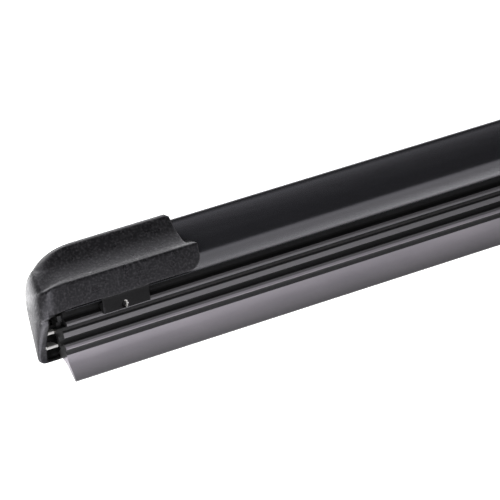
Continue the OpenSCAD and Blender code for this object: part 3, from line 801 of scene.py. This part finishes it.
def make_lights():
    """Lamps: where each stands and points, its width and height, and its power in watts."""
    middle, cap = (-0.15, 0, 0), (-0.2, 0, 0)
    area_light("top", (-0.1, 0.15, 0.85), middle, 1.6, 0.75, 8.5)
    area_light("rear", (0.1, 0.6, 0.78), middle, 1.6, 0.5, 13)
    area_light("left", (-0.31, -0.42, 0), cap, 0.32, 0.22, 1.8)
    area_light("back", (-0.425, 0.39, 0.03), cap, 0.35, 0.3, 3)
    area_light("under", (-0.25, -0.02, -0.1), (-0.21, 0, 0), 0.12, 0.2, 0.6)
    area_light("fill", (-0.1, -0.38, 0.8), middle, 1.4, 0.5, 1).visible_glossy = False


make_camera()
make_world()
make_lights()
make_floor()
make_flags()
bpy.context.scene.view_settings.view_transform = "Standard"

# Materials.
PATCH_GRAIN = 0.12
GLOSS_GRAIN, GLOSSIER, DULLER = 0.4, 0.06, 0.08
# The second range of noise values places the painted highlight on the grains' tops.
USUAL_NOISE, GLINT_NOISE = (0.3, 0.7), (0.46, 0.74)


def noise(nodes, links, grain, detail, stretch):
    """Noise in the object's own metres; grain is in grains to the millimetre."""
    coords = nodes.new("ShaderNodeTexCoord")
    mapping = nodes.new("ShaderNodeMapping")
    mapping.inputs["Scale"].default_value = [grain / MM * part for part in stretch]
    links.new(coords.outputs["Object"], mapping.inputs["Vector"])
    texture = nodes.new("ShaderNodeTexNoise")
    texture.inputs["Scale"].default_value = 1
    texture.inputs["Detail"].default_value = detail
    links.new(mapping.outputs["Vector"], texture.inputs["Vector"])
    return texture.outputs["Fac"]


def spread(nodes, links, value, low, high, ends=USUAL_NOISE):
    """The value between two ends, drawn out to run from low to high."""
    ranged = nodes.new("ShaderNodeMapRange")
    links.new(value, ranged.inputs["Value"])
    ranged.inputs["From Min"].default_value, ranged.inputs["From Max"].default_value = ends
    ranged.inputs["To Min"].default_value = low
    ranged.inputs["To Max"].default_value = high
    return ranged.outputs["Result"]


def mixed(nodes, links, factor, first, second):
    """A mix of two colours, each of them a plain one or another node's output."""
    mix = nodes.new("ShaderNodeMix")
    mix.data_type = "RGBA"
    links.new(factor, mix.inputs["Factor"])
    for socket, value in (("A", first), ("B", second)):
        if isinstance(value, tuple):
            mix.inputs[socket].default_value = (*value, 1)
        else:
            links.new(value, mix.inputs[socket])
    return mix.outputs["Result"]


def bumped(nodes, links, height, depth):
    bump = nodes.new("ShaderNodeBump")
    bump.inputs["Strength"].default_value = 1
    bump.inputs["Distance"].default_value = depth * MM
    links.new(height, bump.inputs["Height"])
    return bump.outputs["Normal"]


def lip_tone_attribute(nodes):
    """How much of its own colour each place of the piece keeps."""
    coat = nodes.new("ShaderNodeAttribute")
    coat.attribute_name = "coat"
    return coat.outputs["Fac"]


def worn_material(name, color, dust, roughness, grain, depth, metallic=0, stretch=(1, 1, 1), specular=0.5,
                  grain_glint=None, edge_color=None, wear=1):
    """A grained surface with uneven gloss, a trace of pale dust, and colour that may darken towards an edge.

    Grain is in grains to the millimetre, and depth is their height in millimetres. The glint colour
    is a painted highlight on the grains' tops, and the edge colour is what the piece darkens to where its
    stored lip tone falls. Wear says how uneven the gloss is.
    """
    material = simple_material(name, color, roughness)
    nodes, links = material.node_tree.nodes, material.node_tree.links
    shader = nodes["Principled BSDF"]
    shader.inputs["Metallic"].default_value = metallic
    shader.inputs["Specular IOR Level"].default_value = specular
    # Non-metals get a bluish tint in their reflections: a painted cool tint of the light.
    if not metallic:
        shader.inputs["Specular Tint"].default_value = (0.92, 0.9, 1, 1)
    fine = noise(nodes, links, grain, 3, stretch)
    broad = noise(nodes, links, PATCH_GRAIN, 4, stretch)
    shade = mixed(nodes, links, spread(nodes, links, broad, 0, 1), color, dust)
    # Painted highlight: the grains' tops take the glint colour.
    if grain_glint:
        shade = mixed(nodes, links, spread(nodes, links, fine, 0, 1, GLINT_NOISE), shade, grain_glint)
    # The piece darkens to the edge colour where the stored lip tone falls.
    if edge_color:
        shade = mixed(nodes, links, lip_tone_attribute(nodes), edge_color, shade)
    links.new(shade, shader.inputs["Base Color"])
    uneven = noise(nodes, links, grain * GLOSS_GRAIN, 2, stretch)
    gloss = spread(nodes, links, uneven, roughness - GLOSSIER * wear, roughness + DULLER * wear)
    links.new(gloss, shader.inputs["Roughness"])
    links.new(bumped(nodes, links, fine, depth), shader.inputs["Normal"])
    return material


# The grains' tops carry a painted highlight in the glint colour.
cap_plastic = worn_material("cap_plastic", (0.003, 0.003, 0.0033), (0.0045, 0.0045, 0.005),
                            roughness=0.32, grain=2.2, depth=0.04, specular=0.19,
                            grain_glint=(0.022, 0.021, 0.023))
# Painted shade: the cap's black with dimmer gloss, for the claws and inside of the cap and for the spoiler's
# grooves and ends.
painted_shade_plastic = worn_material("painted_shade_plastic", (0.003, 0.003, 0.003), (0.005, 0.005, 0.005),
                             roughness=0.4, grain=2.6, depth=0.02, specular=0.08)
# Painted highlight: light grey for the shelves inside the black cap and for the lit side of the claw's hole.
painted_light_plastic = worn_material("painted_light_plastic", (0.2, 0.2, 0.2), (0.28, 0.27, 0.26),
                              roughness=0.35, grain=3, depth=0.01)
spoiler_rubber = worn_material("spoiler_rubber", (0.008, 0.0083, 0.0096), (0.01, 0.0103, 0.0115),
                               roughness=0.24, grain=5, depth=0.0018, stretch=(0.06, 1, 1), wear=0.25)
# The ribs' rubber, also drawn on the spoiler's foot edge as a painted highlight.
body_rubber = worn_material("body_rubber", (0.055, 0.053, 0.056), (0.067, 0.064, 0.068),
                            roughness=0.5, grain=4, depth=0.01, stretch=(0.1, 1, 1))
# Painted shade: dark rubber for the creases, the head and the ends within the cap.
painted_shade_rubber = worn_material("painted_shade_rubber", (0.012, 0.012, 0.012), (0.016, 0.016, 0.016),
                             roughness=0.5, grain=4, depth=0.01, stretch=(0.1, 1, 1), specular=0.25)
# The lip's graphite grey, also drawn on the shoulders' lower band as a painted highlight; its last colour is
# what the lip darkens to at its wiping edge.
lip_graphite = worn_material("lip_graphite", (0.132, 0.123, 0.138), (0.17, 0.157, 0.174),
                             roughness=0.6, grain=4, depth=0.015, stretch=(0.4, 1, 1),
                             edge_color=(0.035, 0.034, 0.035))
rail_coat = worn_material("rail_coat", (0.01, 0.01, 0.01), (0.014, 0.014, 0.014),
                          roughness=0.4, grain=3, depth=0.01, specular=0.1)
cut_steel = worn_material("cut_steel", (0.5, 0.5, 0.5), (0.42, 0.4, 0.38),
                          roughness=0.3, grain=6, depth=0.01, metallic=1, stretch=(1, 0.1, 1))
base_plastic = worn_material("base_plastic", (0.014, 0.014, 0.015), (0.02, 0.02, 0.021),
                             roughness=0.4, grain=2.2, depth=0.04)
adapter_plastic = worn_material("adapter_plastic", (0.03, 0.03, 0.032), (0.04, 0.04, 0.042),
                                roughness=0.42, grain=2.2, depth=0.04)
pin_steel = worn_material("pin_steel", (0.56, 0.56, 0.58), (0.48, 0.47, 0.46),
                          roughness=0.32, grain=5, depth=0.008, metallic=1)

# Pieces.
NODE_LOOKS = {
    "connector_base": base_plastic, "hook_adapter": adapter_plastic, "pivot_pin": pin_steel,
    "pin_washer": pin_steel, "end_cap_left": cap_plastic, "end_cap_right": cap_plastic,
    "spoiler_left": spoiler_rubber, "spoiler_right": spoiler_rubber, "wiping_rubber": body_rubber,
    "rail_windward": rail_coat, "rail_leeward": rail_coat,
}
EDGE_WIDTHS = {"connector_base": 0.22, "hook_adapter": 0.22, "pivot_pin": 0.12, "pin_washer": 0.12}


def dress_nodes():
    """Materials for the CAD nodes, and rounded edges for the four that stay in sight."""
    for name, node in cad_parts.items():
        node.data.materials.clear()
        node.data.materials.append(NODE_LOOKS[name])
    for name, width in EDGE_WIDTHS.items():
        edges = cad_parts[name].modifiers.new("edges", "BEVEL")
        edges.width = width * MM
        edges.segments = 2
        edges.limit_method = "ANGLE"
        edges.angle_limit = math.radians(35)
        edges.harden_normals = True


def add_rubber():
    mesh = swept("rubber", [rubber_loop()], -HALF_LENGTH, HALF_LENGTH)
    add_object("rubber", mesh, "blade", [body_rubber, lip_graphite, painted_shade_rubber], "wiping_rubber",
               choose=rubber_part)


def add_rails():
    for side, label in ((-1, "windward"), (1, "leeward")):
        mesh = swept("rail", [rail_loop(side)], -RAIL_END, RAIL_END)
        add_object("rail_" + label, mesh, "blade", [rail_coat, cut_steel], "rail_" + label, choose=rail_part)


def add_spoilers():
    inner_end = math.asin((BASE_HALF + BASE_GAP) / BOW_RADIUS) * BOW_RADIUS
    for label, low, high in (("left", -SPOILER_END, -inner_end), ("right", inner_end, SPOILER_END)):
        mesh = swept("spoiler", [spoiler_loop(), chamber_loop()], low, high)
        add_object("spoiler_" + label, mesh, "blade", [spoiler_rubber, painted_shade_plastic, body_rubber],
                   "spoiler_" + label, choose=spoiler_part)


def add_caps():
    cap = cap_mesh()
    for side, label in ((-1, "left"), (1, "right")):
        add_object("cap_" + label, placed_copy(cap, side, "cap_" + label), "blade",
                   [cap_plastic, painted_shade_plastic, painted_light_plastic], "end_cap_" + label, sharp=60, choose=cap_part)
        # The shelves are drawn light grey, a painted highlight.
        for number, shelf in enumerate(SHELVES):
            name = f"cap_shelf_{label}_{number}"
            add_object(name, placed_copy(shelf_mesh(*shelf), side, name), "blade", [painted_light_plastic])


dress_nodes()
add_rubber()
add_rails()
add_spoilers()
add_caps()
